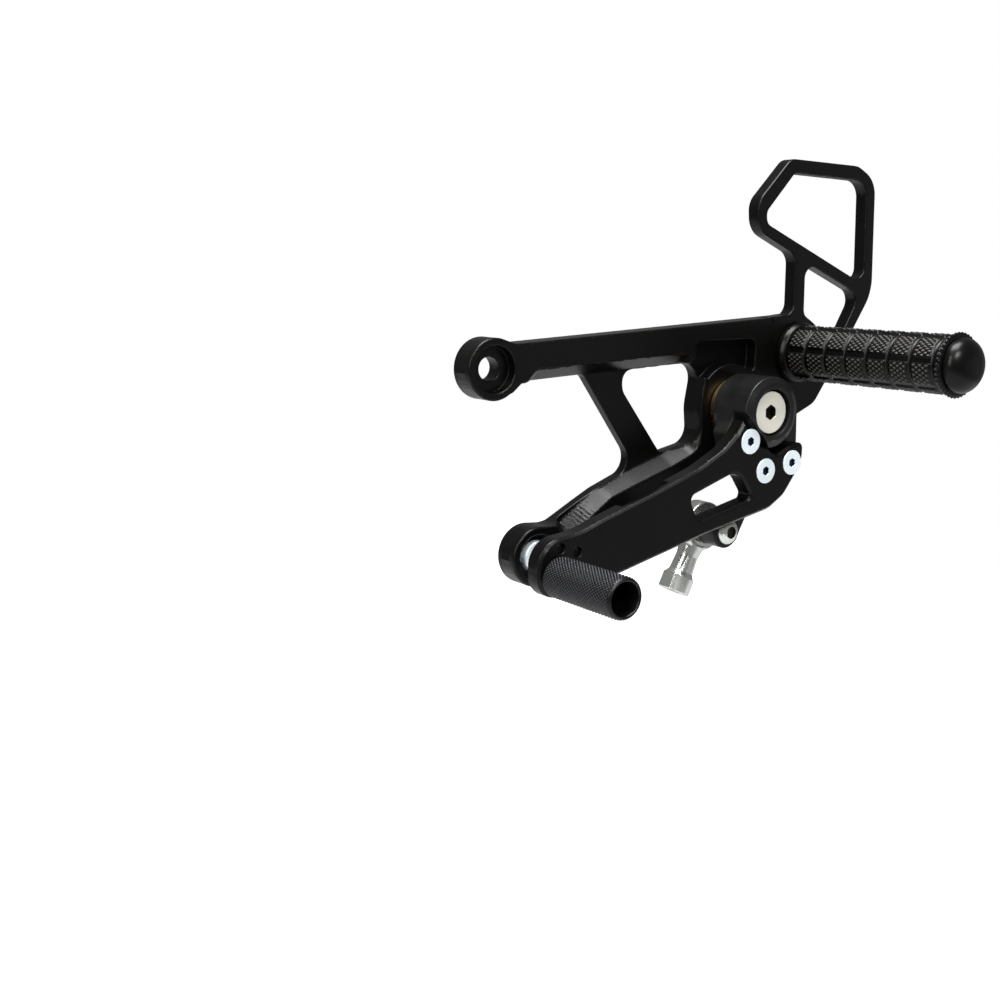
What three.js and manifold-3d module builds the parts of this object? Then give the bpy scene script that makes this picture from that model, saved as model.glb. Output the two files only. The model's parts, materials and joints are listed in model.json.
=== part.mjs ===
// Motorcycle rear-set, gear-change side: bracket with heel guard, foot peg, gear lever with toe peg,
// and a rod end. Millimetres. +X rearward, +Z up, outboard is -Y. The origin is on the upper
// frame-bolt bore, at the bracket's inboard face.
import * as THREE from 'three';
import { mergeVertices } from 'three/addons/utils/BufferGeometryUtils.js';
import Module from 'manifold-3d';

const wasm = await Module();
wasm.setup();

// ---- driving dimensions ----
const GAP = 0.3;                 // clearance between pieces that rest on each other
const RUN = 0.08;                // radial running clearance
const PLATE_T = 12;              // bracket thickness, from Y = 0 outboard
const WEB_T = 5;                 // thin strut and web left behind the recess
const GUARD_T = 7;               // heel guard, flush with the outboard face
const EDGE = 1.2;                // broken edges of the bracket
const BOSS_R = 12.5;
const BORE_R = 4.75;
const COUNTERBORE_R = 9.4;
const COUNTERBORE_D = 4.7;
const UPPER = [0, 0];            // frame-bolt axes, X and Z
const LOWER = [21.4, -78.4];
const PEG = [168, 0];            // foot-peg axis
const PEG_PAD_R = 15.6;
const PIVOT = [127.3, -22.9];    // gear-lever pivot axis
const TOE = [12.6, -80.4];       // toe-peg axis
const ROD = [110.2, -75];        // rod-end bolt axis
const SCREWS = [[115.5, -34.7], [125.2, -48.4], [141.3, -46.1]];
const TIP_HOLES = [[13.8, -69.2], [22.2, -71.5]];

const GRIP_R = 12.55;
const GRIP_Y = -17.3;            // inboard end of the grip
const GRIP_GROOVES = [-27.8, -39.4, -51, -62.6, -74.2, -85.8, -97];
const GROOVE_W = 2.4;
const GROOVE_D = 1.1;
const FLANGE_R = 13.8;
const FLANGE_Y = -98.6;
const GRIP_END = -101.6;
const CAP_R = 11.45;
const CAP_RIM = -102.9;

const HUB_BACK = -17;
const FLANGE_FACE = -29.3;       // outboard face of the hub's flange
const ARM_BACK = FLANGE_FACE - GAP;
const ARM_FACE = -37.3;          // outboard face of the lever arm
const ARM_EDGE = 1.3;
const HUB_R = 15.5;
const HUB_FACE = -38.6;          // the hub's rim stands proud of the arm
const BUSH_R = 7.2;               // outside of the pivot sleeve
const ROD_BOLT_R = 4;
const ROD_Y = -12;               // mid-plane of the rod-end eye
const ROD_TILT = 27.3;           // rod end leans forward from straight down, degrees
const BALL_R = 8;
const BALL_HALF = 5.7;
const EYE_HALF = 4.2;
const EYE_R = 11;
const ARC_STEP = Math.PI / 10;   // turn of one facet on a rounded corner

// ---- materials ----
const finish = (color, metalness, roughness) =>
  new THREE.MeshStandardMaterial({ color, metalness, roughness });
const BLACK = finish(0x2b2a2c, 0.6, 0.42);
const GREY_BLACK = finish(0x3a3a3d, 0.6, 0.5);
const ZINC = finish(0xd6d6d2, 0.9, 0.3);
const BRONZE = finish(0x9c7a45, 0.9, 0.4);
const STEEL = finish(0x9a9a9c, 0.9, 0.3);

// ---- shape helpers ----
const manifold = (geometry) => {
  const bare = geometry.index ? geometry.toNonIndexed() : geometry;
  bare.deleteAttribute('normal');
  bare.deleteAttribute('uv');
  const merged = mergeVertices(bare, 1e-4);
  return new wasm.Manifold(new wasm.Mesh({
    numProp: 3,
    vertProperties: new Float32Array(merged.attributes.position.array),
    triVerts: new Uint32Array(merged.index.array),
  }));
};

// Closed outline through corners [x, z, radius], each corner rounded by its own arc.
const outline = (corners, Kind = THREE.Shape) => {
  const at = (i) => new THREE.Vector2(...corners.at(i % corners.length).slice(0, 2));
  return new Kind(corners.flatMap(([x, z, radius = 0], i) => {
    const p = new THREE.Vector2(x, z);
    if (!radius) return [p];
    const before = at(i - 1).sub(p).normalize();
    const after = at(i + 1).sub(p).normalize();
    const half = Math.acos(THREE.MathUtils.clamp(before.dot(after), -1, 1)) / 2;
    const centre = p.clone().addScaledVector(before.clone().add(after).normalize(), radius / Math.sin(half));
    const angle = (side) => p.clone().addScaledVector(side, radius / Math.tan(half)).sub(centre).angle();
    const arc = new THREE.EllipseCurve(centre.x, centre.y, radius, radius,
      angle(before), angle(after), before.cross(after) > 0);
    return arc.getPoints(Math.max(1, Math.round((Math.PI - 2 * half) / ARC_STEP)));
  }));
};

// Slab of an XZ outline, from Y = back outboard by a thickness, with both rims broken by `edge`.
const slab = (shape, back, thickness, edge = 0) => {
  const geometry = new THREE.ExtrudeGeometry(shape, {
    depth: thickness - 2 * edge, steps: 1,
    bevelEnabled: edge > 0, bevelThickness: edge, bevelSize: edge, bevelOffset: -edge, bevelSegments: 1,
  });
  return manifold(geometry.translate(0, 0, edge - back).rotateX(Math.PI / 2));
};

// Cutter whose floor is the outline at Y = floor, flaring by `flare` over `rise` towards outboard.
const flaredCut = (shape, floor, rise, flare) => {
  const geometry = new THREE.ExtrudeGeometry(shape, {
    depth: 4, steps: 1,
    bevelEnabled: true, bevelThickness: rise, bevelSize: flare, bevelSegments: 1,
  });
  return manifold(geometry.translate(0, 0, rise - floor).rotateX(Math.PI / 2));
};

// Solid turned about an axis parallel to Y from [radius, y] points; the profile closes on itself.
const turned = (profile, [x, z], segments = 36) => {
  const points = profile.map(([r, y]) => new THREE.Vector2(r, y));
  if (profile[0][0] > 0) points.push(points[0].clone());
  return manifold(new THREE.LatheGeometry(points, segments).translate(x, 0, z));
};

// Plain cylinder from Y = a down to Y = b.
const rod = (radius, a, b, axis, segments = 36) =>
  turned([[0, b], [radius, b], [radius, a], [0, a]], axis, segments);

// Hexagonal prism across flats `flats`, about an axis parallel to Y.
const hexRod = (flats, a, b, [x, z], turn = 0) => {
  const geometry = new THREE.CylinderGeometry(flats / Math.sqrt(3), flats / Math.sqrt(3), a - b, 6);
  return manifold(geometry.rotateY(turn).translate(x, (a + b) / 2, z));
};

const join = (...solids) => solids.reduce((all, one) => all.add(one));
const cut = (solid, ...tools) => tools.reduce((rest, tool) => rest.subtract(tool), solid);

const group = new THREE.Group();
group.name = 'rear_set';
const add = (name, solid, material) => {
  const { vertProperties, triVerts, numProp } = solid.getMesh();
  const positions = new Float32Array((vertProperties.length / numProp) * 3);
  for (let i = 0; i * numProp < vertProperties.length; i += 1) {
    positions.set(vertProperties.subarray(i * numProp, i * numProp + 3), i * 3);
  }
  const geometry = new THREE.BufferGeometry();
  geometry.setAttribute('position', new THREE.BufferAttribute(positions, 3));
  geometry.setIndex(new THREE.BufferAttribute(new Uint32Array(triVerts), 1));
  geometry.computeVertexNormals();
  const mesh = new THREE.Mesh(geometry, material);
  mesh.name = name;
  group.add(mesh);
};

// ---- bracket ----
const mainOutline = () => outline([
  [2, 9.4], [171.2, 17.3, 2], [180.5, 12, 7], [186.5, 3, 6], [196, -3.6, 3], [190, -13.3, 10],
  [181.5, -24.5, 10], [168, -30, 20], [142, -44.5, 14], [125, -47.4, 20], [104, -52, 20],
  [75, -62, 30], [28, -88.9], [14, -79], [25, -66.6, 4], [32.5, -65.8, 12], [47, -58.4, 16],
  [56, -54, 20], [78, -46, 8], [48.8, -4.7, 4], [12.6, -6.3, 2.5], [8.4, -8.6],
]);

const guardFrame = () => {
  const rim = outline([
    [160.2, 86.9, 7], [205, 85.2, 12], [217, 79, 12], [218.3, 26.5, 22], [197, -4, 5], [184, -8],
    [160, 6], [150, 16.6], [165.5, 17, 6], [165.5, 44.4, 7], [141.4, 54.9, 10], [140.4, 67.6, 9],
  ]);
  rim.holes.push(
    outline([[146.3, 63.4, 4], [146.6, 58.2, 4], [212, 30.6, 5], [210.9, 78.5, 8], [163, 80.5, 3]],
      THREE.Path),
    outline([[172.3, 17.6, 5], [183.5, 7, 9], [193.7, 0, 4], [209.6, 25.6, 6], [172, 41.2, 5]],
      THREE.Path),
  );
  return rim;
};

const recessOutline = () => outline([
  [22, -5.95], [105.2, -2.4, 6], [105.2, -37.2, 5], [92, -42.2, 20], [72, -48.2, 20], [57, -53, 20],
  [37, -66.2, 1], [24, -50], [17, -11],
]);

const windowOutline = () => outline([
  [70.9, -4.3, 5], [111.4, -2.4, 7], [111.4, -11, 12], [109.2, -22, 20], [110.6, -37.5, 8],
  [92, -41.2, 2.5], [70.2, -12.4, 8],
]);

const pocket = () => cut(
  slab(outline([[105.8, 7.2, 3], [142.2, 7.2, 4], [141.4, -7, 2], [112, -9.5, 2], [105.8, -2, 5]]), -6, 8),
  rod(19.4, -5, -16, PIVOT, 40),
);

const boss = (axis) => turned([
  [0, -PLATE_T], [BOSS_R - 0.8, -PLATE_T], [BOSS_R, 0.8 - PLATE_T], [BOSS_R, -0.8], [BOSS_R - 0.8, 0], [0, 0],
], axis);

const frameBoltHole = (axis) => join(
  rod(BORE_R, 1, -PLATE_T - 1, axis, 24),
  rod(COUNTERBORE_R, COUNTERBORE_D - PLATE_T, -PLATE_T - 1, axis, 32),
);

const bracket = () => {
  const full = join(
    slab(mainOutline(), 0, PLATE_T, EDGE),
    rod(PEG_PAD_R, 0, -PLATE_T, PEG), boss(UPPER), boss(LOWER),
  );
  const plate = cut(full,
    flaredCut(recessOutline(), -WEB_T, PLATE_T - WEB_T, 5),
    slab(windowOutline(), 2, PLATE_T + 4), pocket());
  const guard = slab(guardFrame(), GUARD_T - PLATE_T, GUARD_T, 0.9);
  return cut(join(plate, guard, boss(LOWER)),
    frameBoltHole(UPPER), frameBoltHole(LOWER),
    rod(4.4, 1, -PLATE_T - 1, PEG, 24), rod(7, 1, -5.3, PEG, 32),
    rod(5.3, 1, -PLATE_T - 1, PIVOT, 24));
};

// ---- fasteners ----
// Screw about an axis parallel to Y: a head with its face at Y = face, then a shank down to Y = end.
const capScrew = (axis, { face, headR, headH, shankR, end, flats, round = 0.5 }) => {
  const side = Math.sign(end - face);
  const body = [
    [0, face], [headR - round, face], [headR, face + side * round], [headR, face + side * headH],
    [shankR, face + side * headH], [shankR, end - side * 0.6], [shankR - 0.6, end], [0, end],
  ];
  const profile = side > 0 ? body : body.slice().reverse();
  const socket = side > 0 ? hexRod(flats, face + headH * 0.55, face - 1, axis)
    : hexRod(flats, face + 1, face - headH * 0.55, axis);
  return cut(turned(profile, axis, 24), socket);
};

// Countersunk screw facing outboard.
const countersunk = (axis, { face, headR, rim, shankR, end, flats, depth }) => cut(
  turned([
    [0, face], [headR - 0.2, face], [headR, face + 0.2], [headR, face + rim],
    [shankR, face + rim + headR - shankR], [shankR, end - 0.6], [shankR - 0.6, end], [0, end],
  ], axis, 30),
  hexRod(flats, face + depth, face - 1, axis),
);

const hexNut = (axis, flats, a, b, holeR) => cut(
  hexRod(flats, a, b, axis).intersect(turned([
    [0, b], [flats / 2, b], [flats / 2 + 1.4, b + 0.8], [flats / 2 + 1.4, a - 0.8], [flats / 2, a], [0, a],
  ], axis, 24)),
  rod(holeR, a + 1, b - 1, axis, 24),
);

// ---- foot peg ----
const collar = () => turned([
  [4.4, -PLATE_T - GAP], [13.4, -PLATE_T - GAP], [FLANGE_R, -PLATE_T - GAP - 0.7],
  [FLANGE_R, -14.6], [13.9, -15.5], [13.4, -16.2], [12.8, -16.7], [12.2, GRIP_Y + GAP], [4.4, GRIP_Y + GAP],
].reverse(), PEG);

const grip = () => {
  const grooves = GRIP_GROOVES.slice().reverse().flatMap((y) => [
    [GRIP_R, y - GROOVE_W / 2], [GRIP_R - GROOVE_D, y - GROOVE_W / 2 + 0.5],
    [GRIP_R - GROOVE_D, y + GROOVE_W / 2 - 0.5], [GRIP_R, y + GROOVE_W / 2],
  ]);
  const profile = [
    [0, GRIP_END], [FLANGE_R - 0.9, GRIP_END], [FLANGE_R, GRIP_END + 0.9], [FLANGE_R, FLANGE_Y - 0.3],
    [GRIP_R, FLANGE_Y + 0.4], ...grooves, [GRIP_R, GRIP_Y - 0.4], [GRIP_R - 0.4, GRIP_Y], [0, GRIP_Y],
  ];
  const flutes = Array.from({ length: 6 }, (_, i) => THREE.MathUtils.degToRad(50 + 60 * i)).map((turn) => {
    const bar = new THREE.BoxGeometry(2.4, GRIP_Y - FLANGE_Y + 4, 1.4);
    return manifold(bar.translate(0, (GRIP_Y + 2 + FLANGE_Y + 0.6) / 2 + 0.2, GRIP_R - 0.5)
      .rotateY(turn).translate(PEG[0], 0, PEG[1]));
  });
  return cut(turned(profile, PEG, 30), ...flutes,
    rod(4.3, GRIP_Y + 1, -46, PEG, 24), rod(6, -88, GRIP_END - 1, PEG, 24));
};

// Smooth domed end cap with a spigot in the grip's bore.
const cap = () => {
  const dome = Array.from({ length: 6 }, (_, i) => (i * Math.PI) / 12).map((t) =>
    [CAP_R * Math.cos(t), CAP_RIM - 7 * Math.sin(t)]);
  return turned([
    [0, CAP_RIM - 7], ...dome.reverse(), [CAP_R, GRIP_END - GAP],
    [5.7, GRIP_END - GAP], [5.7, -90], [5.2, -89], [0, -89],
  ], PEG);
};

// ---- pivot ----
const pivotSleeve = () => turned([
  [5.3, -31.5], [6.9, -33.1], [BUSH_R, -33.1], [BUSH_R, -PLATE_T - GAP], [5.3, -PLATE_T - GAP],
], PIVOT);

// ---- gear lever ----
const hubOutline = () => outline([
  [113, -24], [108.4, -31.4, 3], [110.5, -38, 6], [120, -51, 8], [126.4, -60, 3], [122.5, -65, 3],
  [108, -67.9], [104, -76], [116, -79.8], [123.4, -67.2, 4], [140, -57.5, 10], [148, -50, 6],
  [152, -40, 5], [151.6, -21, 6], [144.5, -13.2, 6], [136, -11],
]);

const leverHub = () => {
  const rim = turned([
    [0, HUB_FACE], [12.5, HUB_FACE], [HUB_R - 0.3, HUB_FACE + 1.3], [HUB_R, HUB_FACE + 1.8],
    [HUB_R, HUB_BACK - 1], [HUB_R - 1, HUB_BACK], [0, HUB_BACK],
  ], PIVOT);
  const rodBoss = rod(7.5, ROD_Y - BALL_HALF - GAP, FLANGE_FACE, ROD, 32);
  const flange = slab(hubOutline(), -20.5, -20.5 - FLANGE_FACE, 0.7);
  const screwHoles = SCREWS.map((axis) => rod(3.3, -19, FLANGE_FACE - 1, axis, 20));
  const armSeat = slab(outline([[111.2, -21.1], [127.1, -39.1], [118, -48], [102, -30]]), FLANGE_FACE, 10);
  return cut(join(rim.subtract(armSeat), flange, rodBoss),
    rod(9.6, HUB_BACK + 1, HUB_FACE - 1, PIVOT), rod(10.3, -32.4, HUB_FACE - 1, PIVOT),
    ...screwHoles, rod(4.3, HUB_BACK + 2, FLANGE_FACE - 1, ROD, 24));
};

const armOutline = () => outline([
  [107.9, -30.9, 12], [101, -36.8, 14], [87, -43.9, 40], [62, -52, 60],
  [33, -60.6, 40], [24, -63.9, 60], [3.2, -66.2, 11.5], [2.9, -89.4, 9], [22, -88.6, 20],
  [46, -83.3, 60], [66, -78.6, 60], [90, -73, 60], [128.6, -65.6, 12], [137.5, -60.4, 12],
  [144.6, -51.5, 12], [148.4, -45, 8], [148.6, -37.2, 2.5], [140, -38.6, 4], [131, -42, 3], [126, -38.3],
  [112.9, -23.6],
]);

const armSlot = () => outline([
  [81.8, -55.6, 3], [109, -46.9, 7], [116.6, -57.9, 2.6], [115.4, -60.3, 1.5], [86.4, -66.6, 3],
]);

const leverArm = () => {
  const thick = ARM_BACK - ARM_FACE;
  const relief = slab(outline([[46, -50, 2], [70, -42, 2], [74, -54, 4], [49, -62, 4]]), -28, 5.6);
  const seats = SCREWS.map((axis) => turned([
    [0, ARM_FACE - 1], [6.6, ARM_FACE - 1], [5.75, ARM_FACE + 0.1], [5.75, ARM_FACE + 0.9],
    [3.3, ARM_FACE + 3.35], [3.3, ARM_BACK + 1], [0, ARM_BACK + 1],
  ], axis, 30));
  return cut(slab(armOutline(), ARM_BACK, thick, ARM_EDGE),
    slab(armSlot(), ARM_BACK + 2, thick + 4), flaredCut(armSlot(), ARM_FACE + 1.1, 1.1, 1.1), relief,
    rod(HUB_R + GAP, ARM_BACK + 1, ARM_FACE - 1, PIVOT, 48), ...seats,
    ...TIP_HOLES.map((axis) => rod(2.3, ARM_BACK + 1, ARM_FACE - 1, axis, 16)),
    rod(3.3, ARM_BACK + 1, ARM_FACE - 1, TOE, 20));
};

const toePeg = () => turned([
  [3.3, -46], [6.5, -46], [6.5, -78.2], [7.1, -79], [7.8, -79], [8.5, -78.3], [8.5, ARM_FACE - GAP],
  [3.3, ARM_FACE - GAP],
], TOE);

// ---- rod end ----
// Points of a spherical band centred on the rod-end eye, between Y = -half and +half of its middle.
const sphereBand = (radius, half, rows) => {
  const reach = Math.asin(half / radius);
  return Array.from({ length: rows + 1 }, (_, i) => reach * ((2 * i) / rows - 1)).map((t) =>
    [radius * Math.cos(t), ROD_Y + radius * Math.sin(t)]);
};

const ball = () => turned([
  [ROD_BOLT_R + RUN, ROD_Y - BALL_HALF], ...sphereBand(BALL_R, BALL_HALF, 6),
  [ROD_BOLT_R + RUN, ROD_Y + BALL_HALF],
], ROD);

// Eye round the ball, with the shank made pointing straight down and then leaned forwards.
const rodEnd = () => {
  const eye = turned([
    ...sphereBand(BALL_R + RUN, EYE_HALF, 6).reverse(),
    [EYE_R - 1, ROD_Y - EYE_HALF], [EYE_R, ROD_Y - EYE_HALF + 1],
    [EYE_R, ROD_Y + EYE_HALF - 1], [EYE_R - 1, ROD_Y + EYE_HALF],
  ], ROD);
  const lean = (geometry) => manifold(geometry.rotateX(Math.PI / 2)
    .rotateY(THREE.MathUtils.degToRad(ROD_TILT)).translate(ROD[0], ROD_Y, ROD[1]));
  const shank = lean(new THREE.LatheGeometry([
    [0, -32], [6.2, -32], [6.6, -31.4], [6.6, -24.6], [5.4, -22.6], [4.9, -15], [5.6, -10], [0, -10],
  ].map(([r, y]) => new THREE.Vector2(r, y)), 24));
  const hex = lean(new THREE.CylinderGeometry(7.5, 7.5, 7.4, 6).translate(0, -28.3, 0));
  const bore = lean(new THREE.CylinderGeometry(3.4, 3.4, 20, 20).translate(0, -27, 0));
  return cut(join(eye, cut(shank, rod(EYE_R - 1.5, 0, -24, ROD)), hex), bore);
};

// ---- assembly ----
add('bracket', bracket(), BLACK);
add('frame_bolt_lower', capScrew(LOWER, {
  face: -12.3, headR: 6.75, headH: 4.6, shankR: 4, end: 9, flats: 5 }), ZINC);
add('peg_collar', collar(), BLACK);
add('peg_grip', grip(), GREY_BLACK);
add('peg_cap', cap(), BLACK);
add('peg_bolt', capScrew(PEG, { face: 0.2, headR: 6.5, headH: 5, shankR: 4, end: -42, flats: 6 }), ZINC);
add('pivot_bolt', countersunk(PIVOT, {
  face: -36.9, headR: 9.2, rim: 0.9, shankR: 5, end: 8.6, flats: 6, depth: 3.6 }), ZINC);
add('pivot_sleeve', pivotSleeve(), STEEL);
add('pivot_nut', hexNut(PIVOT, 17, 6.3, GAP, 5.3), ZINC);
add('thrust_ring', cut(
  rod(13, -PLATE_T - GAP, HUB_BACK + GAP, PIVOT), rod(BUSH_R + GAP, -11, -18, PIVOT)), BRONZE);
add('lever_hub', leverHub(), BLACK);
add('hub_bushing', cut(rod(9.3, HUB_BACK, -32.1, PIVOT), rod(BUSH_R + RUN, -16, -34, PIVOT)), BRONZE);
add('lever_arm', leverArm(), BLACK);
SCREWS.forEach((axis, i) => add(`lever_screw_${i + 1}`, countersunk(axis, {
  face: ARM_FACE - 0.1, headR: 5.5, rim: 0.7, shankR: 3, end: -21.5, flats: 3.6, depth: 2.2 }), ZINC));
add('toe_peg', toePeg(), BLACK);
add('toe_peg_bolt', capScrew(TOE, {
  face: -51.5, headR: 5, headH: 5.2, shankR: 3, end: -28, flats: 5 }), ZINC);
add('rod_bolt', capScrew(ROD, {
  face: -33.2, headR: 5.5, headH: 3.6, shankR: ROD_BOLT_R, end: 2, flats: 4.6, round: 2 }), ZINC);
add('rod_nut', hexNut(ROD, 13, 0.6, -6, 4.3), ZINC);
add('rod_end_ball', ball(), STEEL);
add('rod_end', rodEnd(), ZINC);

export default group;
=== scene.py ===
"""Looks of a motorcycle rear-set: bracket with heel guard, foot peg, gear lever, toe peg and rod end.

Shapes are distance fields in millimetres, negative inside, in the CAD's own frame: +X rearward, +Z up
and -Y outboard. Axes, faces and the radii of turned pieces are read from the CAD nodes. Outlines and the
sizes of cuts are given here.
"""

import json
import math
from concurrent.futures import ThreadPoolExecutor

import bmesh
import bpy
import numpy as np
import openvdb
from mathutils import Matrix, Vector


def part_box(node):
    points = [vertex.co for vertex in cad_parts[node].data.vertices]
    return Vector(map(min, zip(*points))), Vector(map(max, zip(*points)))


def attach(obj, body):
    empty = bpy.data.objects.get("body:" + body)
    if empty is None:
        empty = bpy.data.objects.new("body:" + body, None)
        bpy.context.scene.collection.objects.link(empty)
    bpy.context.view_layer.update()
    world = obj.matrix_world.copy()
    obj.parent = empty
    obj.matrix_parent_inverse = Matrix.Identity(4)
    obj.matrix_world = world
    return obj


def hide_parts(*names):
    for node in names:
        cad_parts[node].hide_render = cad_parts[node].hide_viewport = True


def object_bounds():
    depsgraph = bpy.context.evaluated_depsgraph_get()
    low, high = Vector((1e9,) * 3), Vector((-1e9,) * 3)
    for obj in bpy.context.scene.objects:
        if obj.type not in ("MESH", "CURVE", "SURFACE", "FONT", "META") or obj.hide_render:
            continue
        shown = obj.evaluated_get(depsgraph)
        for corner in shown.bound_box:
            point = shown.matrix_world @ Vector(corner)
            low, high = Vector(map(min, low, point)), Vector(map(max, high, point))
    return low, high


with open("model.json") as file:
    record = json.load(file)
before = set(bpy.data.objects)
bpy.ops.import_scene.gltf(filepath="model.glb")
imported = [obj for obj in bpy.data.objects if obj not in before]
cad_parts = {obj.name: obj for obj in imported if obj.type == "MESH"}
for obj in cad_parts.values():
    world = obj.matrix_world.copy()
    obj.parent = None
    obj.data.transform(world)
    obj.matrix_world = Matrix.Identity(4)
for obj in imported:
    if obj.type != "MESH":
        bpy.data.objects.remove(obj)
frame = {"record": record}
cad_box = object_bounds()

MM = 0.001
COARSE = 1.0
BAND = 3                 # half the depth of the sampled layer round a surface, in steps
SLICES = 16              # a field is worked out in this many parts along X
ADAPTIVITY = 0.03        # how readily flat faces are merged


# ---- places and sizes from the frame, in millimetres ----
def low(node):
    return np.array(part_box(node)[0]) / MM


def high(node):
    return np.array(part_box(node)[1]) / MM


def axis_of(node):
    """X and Z of the axis of a turned node that runs along Y."""
    middle = (low(node) + high(node)) / 2
    return middle[0], middle[2]


def radius_of(node):
    """Widest radius of a turned node that runs along Y."""
    return (high(node)[0] - low(node)[0]) / 2


UPPER = (0.0, 0.0)       # the upper frame bolt, the frame's origin
LOWER = axis_of("frame_bolt_lower")
PEG = axis_of("peg_bolt")
PIVOT = axis_of("thrust_ring")
ROD = axis_of("rod_bolt")
SCREWS = [axis_of(f"lever_screw_{i}") for i in (1, 2, 3)]

PLATE_FACE = low("bracket")[1]
HUB_BACK = high("lever_hub")[1]
HUB_FACE = low("lever_hub")[1]
ARM_BACK = high("lever_arm")[1]
ARM_FACE = low("lever_arm")[1]
GRIP_BACK = high("peg_grip")[1]
GRIP_END = low("peg_grip")[1]
FLANGE_BACK = GRIP_END + 1.9
TOE_BACK = high("toe_peg")[1]
TOE_END = low("toe_peg")[1]
CAP_TIP = low("peg_cap")[1]
ROD_Y = (low("rod_end_ball")[1] + high("rod_end_ball")[1]) / 2
COLLAR_BACK = high("peg_collar")[1]
COLLAR_FRONT = low("peg_collar")[1]
CAP_ROOT = high("peg_cap")[1]
SLEEVE_TIP = low("pivot_sleeve")[1]
BUSH_FRONT = low("hub_bushing")[1]
THRUST_FRONT = low("thrust_ring")[1]

# Sizes of the bracket.
BOSS_R = 12.5
BORE_R = 4.75
COUNTERBORE_R = 9.4
COUNTERBORE_Y = PLATE_FACE + 4.7
WEB_FACE = -5.0          # floor of the bracket's recess
POCKET_FACE = -6.0
PAD_R = 15.6             # round pad behind the foot peg
POCKET_KEEP_R = 19.4     # round the lever's pivot
GUARD_BACK = -5.0
RECESS_LEAN = 5          # how far the recess's sides lean out from its floor to the plate's face
RIDGE_START = (36, -65)  # the cutter's ridges on the lower arm
RIDGE_HEADING = (0.83, 0.56)
RIDGE_TOP = -40
RIDGE_RUN = 17
RIDGE_PITCH = 1.9
RIDGE_DEPTH = 0.16
PEG_BORE_R = 7
PEG_BORE_Y = -5.3
PIVOT_BOLT_R = 5.3

# Sizes of the gear lever, its pivot and the screws.
ARM_BEVEL = 1.3
SLOT_BEVEL = 1.1
RELIEF_DEPTH = 4
SCREW_SEAT_R = 5.75
SCREW_SEAT_DEPTH = 3.6
TIP_HOLE_R = 2.1
THREAD_DEPTH = 0.32
HUB_R = 15.5
HUB_GAP = 0.3            # between the hub and the arm
LIP_DEEP = 1.6           # cone that eases the hub's rim
LIP_WIDE = 3
FLANGE_FACE = ARM_BACK + 0.3
CARRIER_THICK = 8.8
ROD_BOSS_R = 7.5
HUB_BORE_R = 9.6
HUB_HEAD_R = 10.3        # wider end of the bore, round the pivot bolt's head
HUB_HEAD_Y = -32.4
SLEEVE_R = radius_of("pivot_sleeve")
BUSH_R = radius_of("hub_bushing")
THRUST_R = radius_of("thrust_ring")

# Sizes of the rod end; places along it are measured from its ball.
ROD_TILT = math.radians(27.3)
BALL_R = radius_of("rod_end_ball")
BALL_SEAT_R = BALL_R + 0.08
BALL_HALF = high("rod_end_ball")[1] - ROD_Y
BALL_BORE_R = 4.08
EYE_R = 11
EYE_HALF = 4.2
SHANK_START = 9.5
ROD_LENGTH = 32
ROD_STATIONS = (8, 15, 22.6, 24.6)
ROD_GIRTHS = (6.0, 4.9, 5.4, 6.6)
ROD_HEX = 13
ROD_HEX_MIDDLE = 28.3
ROD_HEX_HALF = 3.7
ROD_BORE_R = 3.4
ROD_BORE_START = 17

# Sizes of the foot peg and toe peg.
COLLAR_BORE_R = 4.4
PEG_BOLT_R = 4.3
GRIP_R = 12.55
GRIP_BORE_R = 6
GRIP_BORE_END = -88
FLANGE_R = 13.8
CAP_R = radius_of("peg_cap")
CAP_DOME = 7
CAP_STEM_R = 5.7
GROOVE_COUNT = 7         # rings round the grip; the flutes run along it
GROOVE_START = -27.8
GROOVE_PITCH = 11.53
GROOVE_HALF = 0.95
FLUTES = 6
FLUTE_TURN = math.radians(50)
FLUTE_HALF = 1.1
PAD_RISE = 0.5
LAND_R = GRIP_R - 0.4
GROOVE_FLOOR_R = GRIP_R - 1.35
GRIP_KNURL = (3.2, 38)   # pitch along Y, and diamonds round the sleeve
GRIP_KNURL_HEIGHT = 0.5
TOE_KNURL = (1.9, 38)
TOE_KNURL_HEIGHT = 0.38
TOE_R = radius_of("toe_peg") - TOE_KNURL_HEIGHT
TOE_BORE_R = 6.5
TOE_BORE_END = -46
TOE_BOLT_R = 3.3

# Outlines: each corner is (x, z), with a radius as well where it is rounded.
MAIN = [
    (2, 9.4), (171.2, 17.3, 2), (180.5, 12, 7), (186.5, 3, 6), (196, -3.6, 3), (190, -13.3, 10),
    (181.5, -24.5, 10), (168, -30, 20), (142, -44.5, 14), (125, -47.4, 20), (104, -52, 20),
    (75, -62, 30), (28, -88.9), (14, -79), (25, -66.6, 4), (32.5, -65.8, 12), (47, -58.4, 16),
    (56, -54, 20), (78, -46, 8), (48.8, -4.7, 4), (12.6, -6.3, 2.5), (8.4, -8.6),
]
GUARD = [
    (160.2, 86.9, 7), (205, 85.2, 12), (217, 79, 12), (218.3, 26.5, 22), (197, -4, 5), (184, -8),
    (160, 6), (150, 16.6), (165.5, 17, 6), (165.5, 44.4, 7), (141.4, 54.9, 10), (140.4, 67.6, 9),
]
GUARD_WINDOWS = [
    [(146.3, 63.4, 4), (146.6, 58.2, 4), (212, 30.6, 5), (210.9, 78.5, 8), (163, 80.5, 3)],
    [(172.3, 17.6, 5), (183.5, 7, 9), (193.7, 0, 4), (209.6, 25.6, 6), (172, 41.2, 5)],
]
RECESS = [
    (22, -5.95), (105.2, -2.4, 6), (105.2, -37.2, 5), (92, -42.2, 20), (72, -48.2, 20), (57, -53, 20),
    (37, -66.2, 1), (24, -50), (17, -11),
]
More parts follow.
